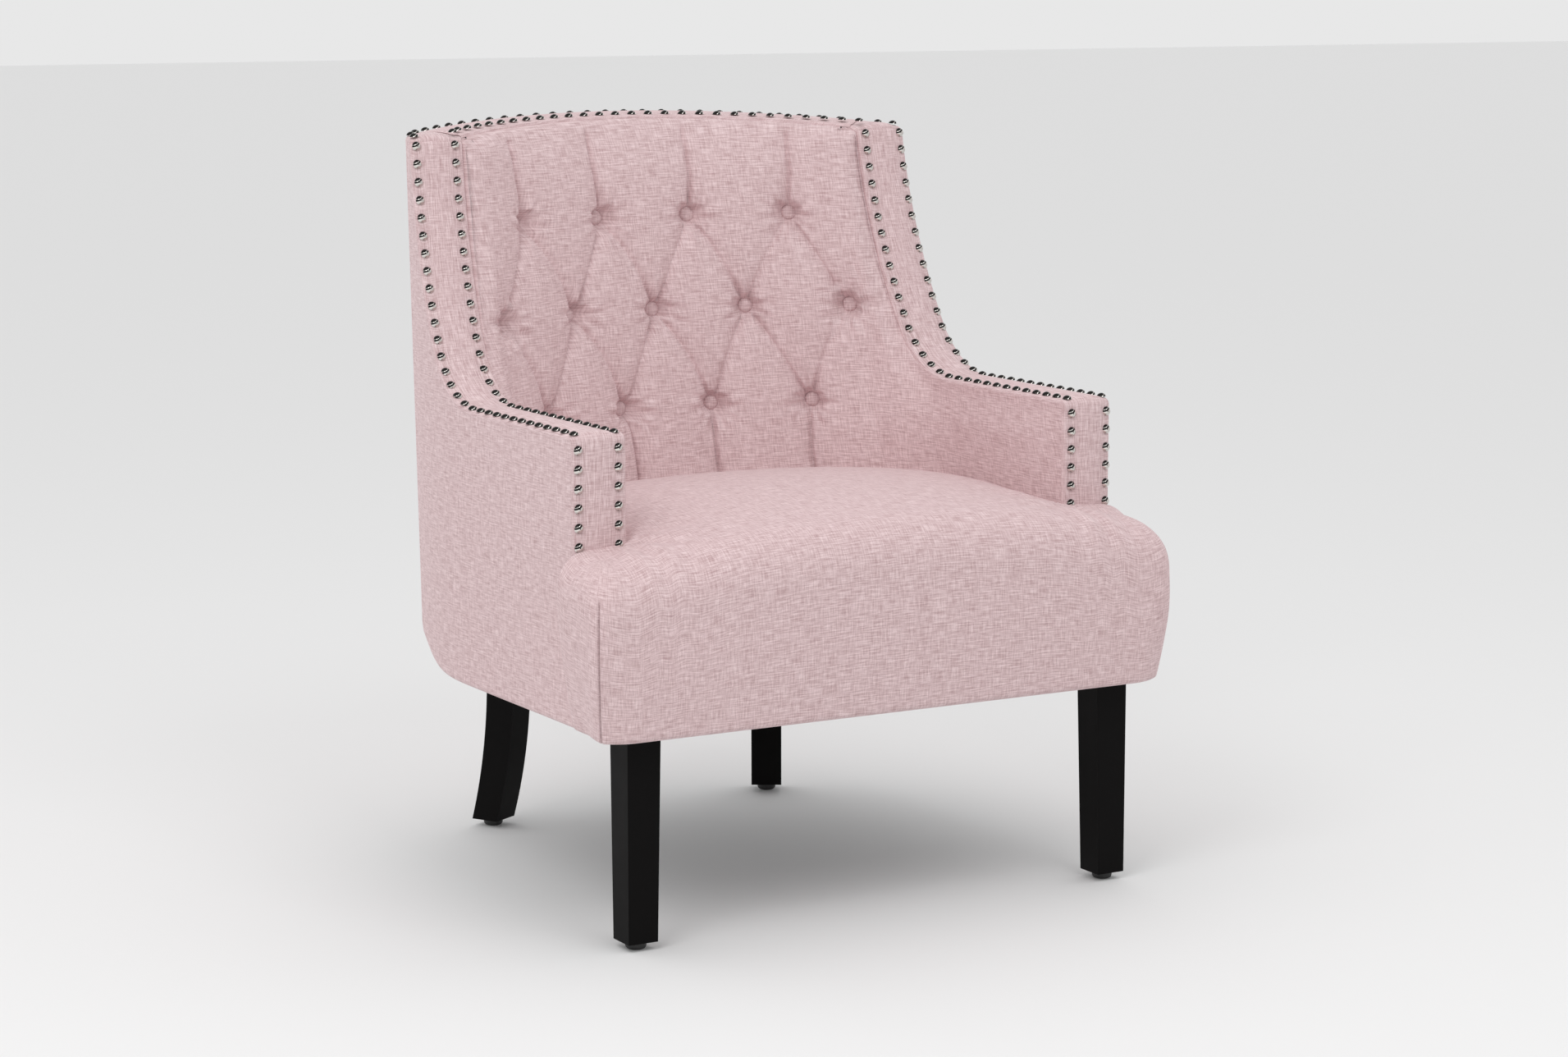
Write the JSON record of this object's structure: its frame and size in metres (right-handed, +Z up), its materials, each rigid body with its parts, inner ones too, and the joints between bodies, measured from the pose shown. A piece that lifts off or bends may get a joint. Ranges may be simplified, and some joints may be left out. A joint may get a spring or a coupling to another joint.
{
  "type": "upholstered armchair",
  "caption": "Low-armed armchair with a button-tufted curved back, T-shaped tight seat, nail-head trim and black tapered legs.",
  "frame": {"origin": "on the floor, under the middle of the chair's overall width and depth", "axes": "+Z up; the sitter faces -Y; +X is to the right as seen from in front"},
  "size_m": [0.74, 0.6999, 0.8662],
  "materials": {
    "upholstery": "woven chenille, matt with a soft nap",
    "black_wood": "black satin lacquer",
    "glide_plastic": "moulded nylon",
    "zinc_steel": "zinc plated",
    "nickel": "polished nickel",
    "foam": "open-cell foam and polyester wadding",
    "dust_cloth": "spun-bonded black cambric",
    "webbing_jute": "jute webbing, hessian and waxed twine",
    "frame_wood": "sawn hardwood and plywood"
  },
  "bodies": {
    "root": {"arm_post_left": "frame_wood", "arm_post_right": "frame_wood", "arm_rail_left": "frame_wood", "arm_rail_right": "frame_wood", "back_foam": "foam", "back_post_inner_left": "frame_wood", "back_post_inner_right": "frame_wood", "back_post_outer_left": "frame_wood", "back_post_outer_right": "frame_wood", "back_tack_rail": "frame_wood", "back_top_rail": "frame_wood", "back_webbing": "webbing_jute", "corner_block_front_left": "frame_wood", "corner_block_front_right": "frame_wood", "corner_block_rear_left": "frame_wood", "corner_block_rear_right": "frame_wood", "dust_cover": "dust_cloth", "edge_band_left": "upholstery", "edge_band_right": "upholstery", "edge_pad_left": "foam", "edge_pad_right": "foam", "front_rail_pad": "foam", "inside_arm_cover_left": "upholstery", "inside_arm_cover_right": "upholstery", "inside_arm_pad_left": "foam", "inside_arm_pad_right": "foam", "inside_back_cover": "upholstery", "leg_bolts": "zinc_steel", "leg_front_left": "black_wood", "leg_front_right": "black_wood", "leg_glides": "glide_plastic", "leg_nuts": "zinc_steel", "leg_rear_left": "black_wood", "leg_rear_right": "black_wood", "leg_washers": "zinc_steel", "nails_left": "nickel", "nails_right": "nickel", "nails_top": "nickel", "outside_arm_cover_left": "upholstery", "outside_arm_cover_right": "upholstery", "outside_back_cover": "upholstery", "seat_back_rail": "frame_wood", "seat_boxing_left": "upholstery", "seat_boxing_right": "upholstery", "seat_cover": "upholstery", "seat_deck": "webbing_jute", "seat_foam": "foam", "seat_front_rail": "frame_wood", "seat_side_rail_left": "frame_wood", "seat_side_rail_right": "frame_wood", "seat_springs": "zinc_steel", "side_panel_left": "frame_wood", "side_panel_right": "frame_wood", "spring_clips": "zinc_steel", "top_band": "upholstery", "top_pad": "foam", "tuft_buttons": "upholstery", "tuft_twine": "webbing_jute", "wing_stile_left": "frame_wood", "wing_stile_right": "frame_wood"}
  },
  "joints": []
}
